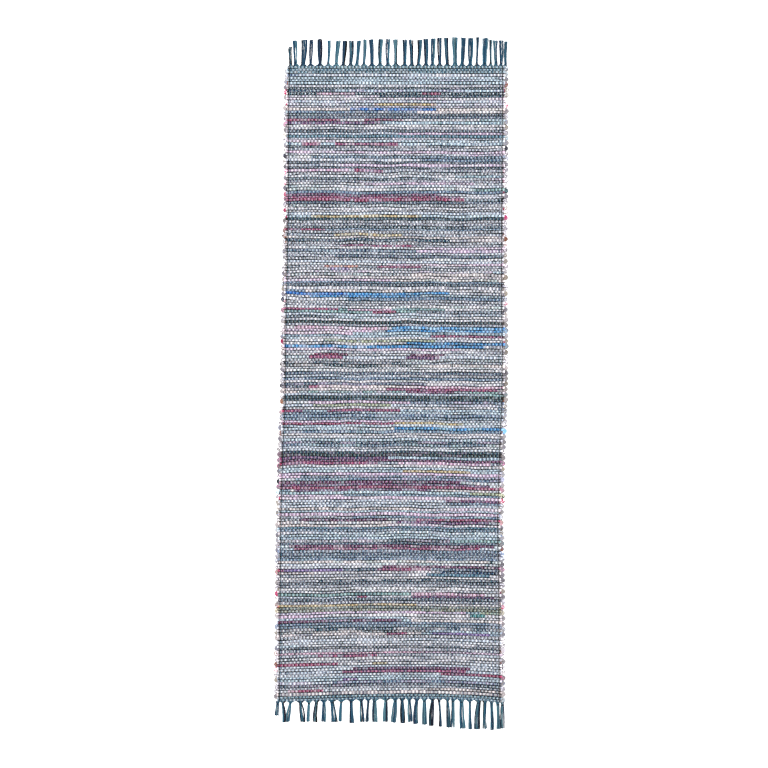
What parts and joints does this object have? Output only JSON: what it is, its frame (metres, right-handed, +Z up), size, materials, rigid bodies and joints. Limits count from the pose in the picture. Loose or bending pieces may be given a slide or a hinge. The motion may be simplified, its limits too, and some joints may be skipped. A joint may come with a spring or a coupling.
{
  "type": "rag rug",
  "caption": "Long narrow hand-woven rag rug: ribbed plain-weave cloth of mixed rag strips on a thin striped warp, with the warp knotted into a fringe at both ends.",
  "frame": {"origin": "middle of the whole rug's box, at the floor it lies on", "axes": "+Y along the rug's length towards its far fringe, +X across it, +Z up out of its upper face"},
  "size_m": [0.7221, 2.1264, 0.006],
  "materials": {
    "rag_weft": "matt woven cotton rag, mixed pale and blue-grey",
    "warp_yarn": "matt cotton yarn, petrol blue and black"
  },
  "bodies": {
    "root": {"woven_field": "rag_weft", "fringe_far": "warp_yarn", "fringe_near": "warp_yarn"}
  },
  "joints": []
}
